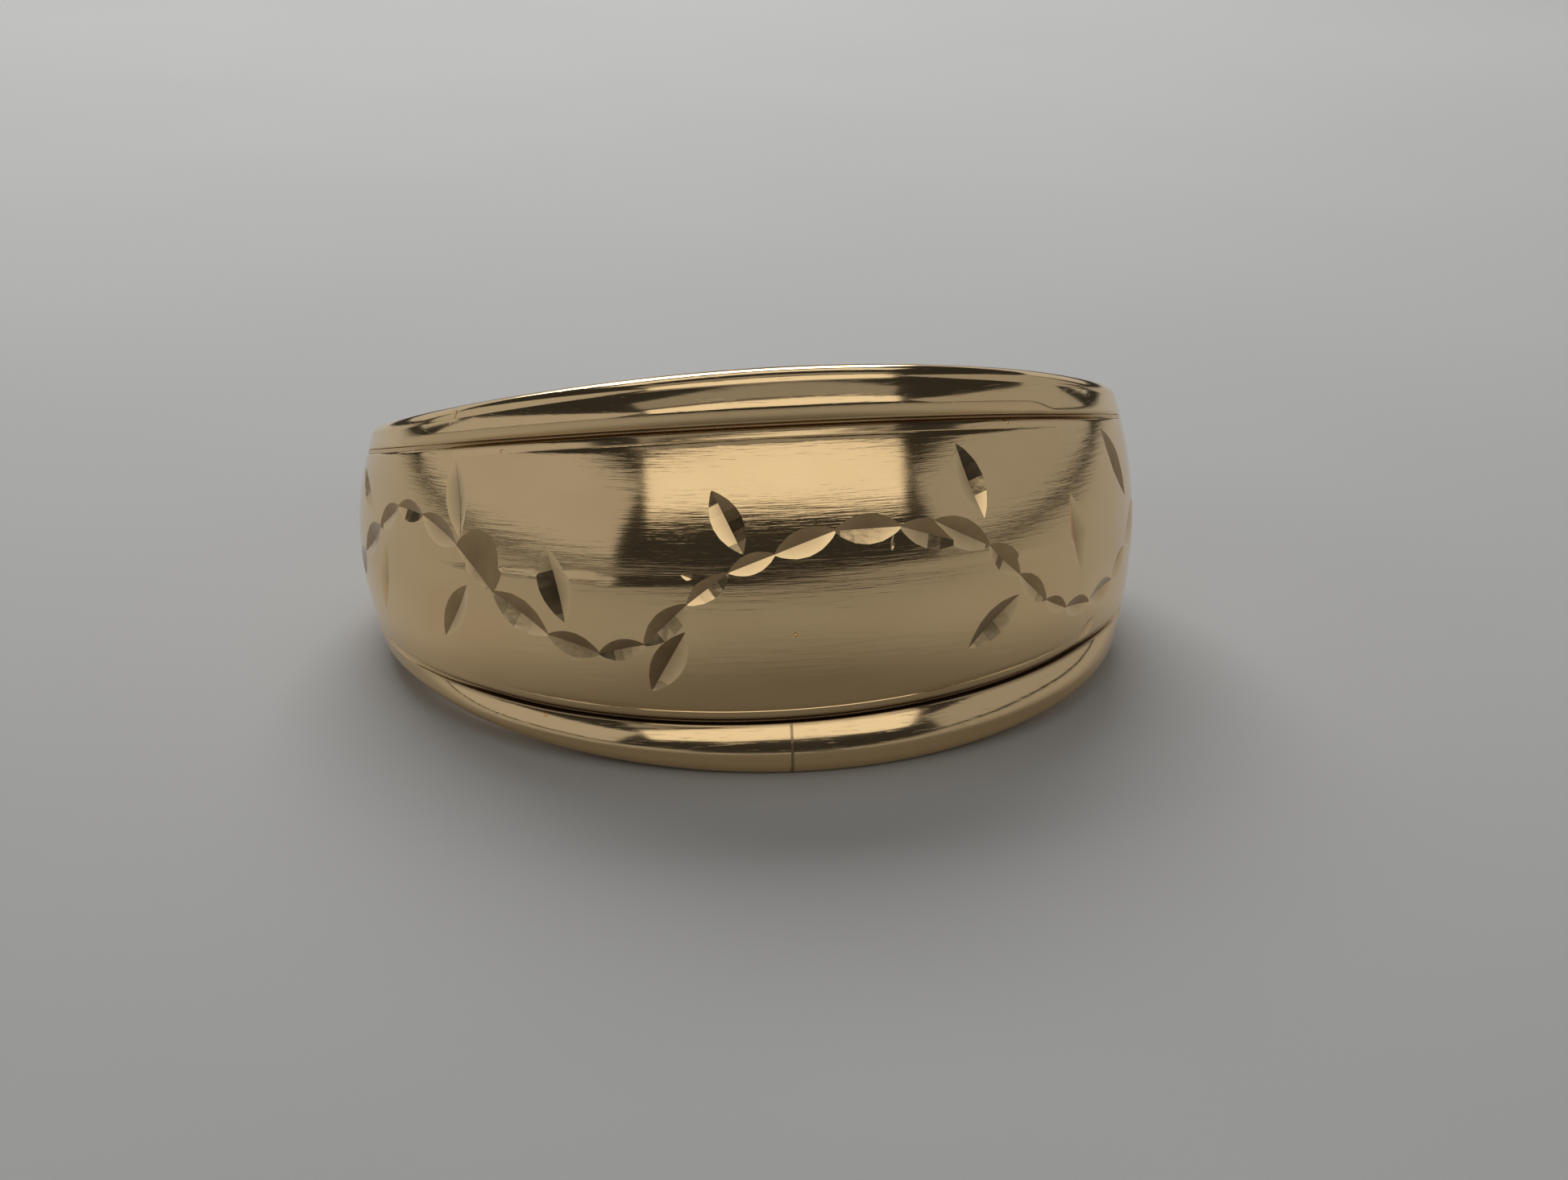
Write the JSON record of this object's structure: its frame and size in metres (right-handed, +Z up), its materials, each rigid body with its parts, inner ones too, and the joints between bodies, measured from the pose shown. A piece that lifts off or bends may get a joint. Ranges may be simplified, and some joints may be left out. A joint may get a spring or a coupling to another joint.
{
  "type": "wedding band",
  "caption": "Wide tapered wedding band with a satin domed front, bright-cut vine and leaves, raised polished borders and a plain polished shank.",
  "frame": {"origin": "on the surface the ring lies on, under the middle of its box", "axes": "+Z up from the surface, the wide front faces -Y, +X to the viewer's right; the bore leans back by 9.5 degrees towards +Y"},
  "size_m": [0.0204, 0.0206, 0.0097],
  "materials": {
    "satin_gold": "yellow gold, satin brushed round the ring, with bright-cut facets",
    "polished_gold": "yellow gold, polished",
    "gold_solder": "gold solder, cleaned up flush"
  },
  "bodies": {
    "root": {"domed_front_plate": "satin_gold", "rear_shank": "polished_gold", "upper_border_wire": "polished_gold", "lower_border_wire": "polished_gold", "upper_border_solder": "gold_solder", "lower_border_solder": "gold_solder", "left_shoulder_solder": "gold_solder", "right_shoulder_solder": "gold_solder", "upper_border_butt_joint": "gold_solder", "lower_border_butt_joint": "gold_solder"}
  },
  "joints": []
}
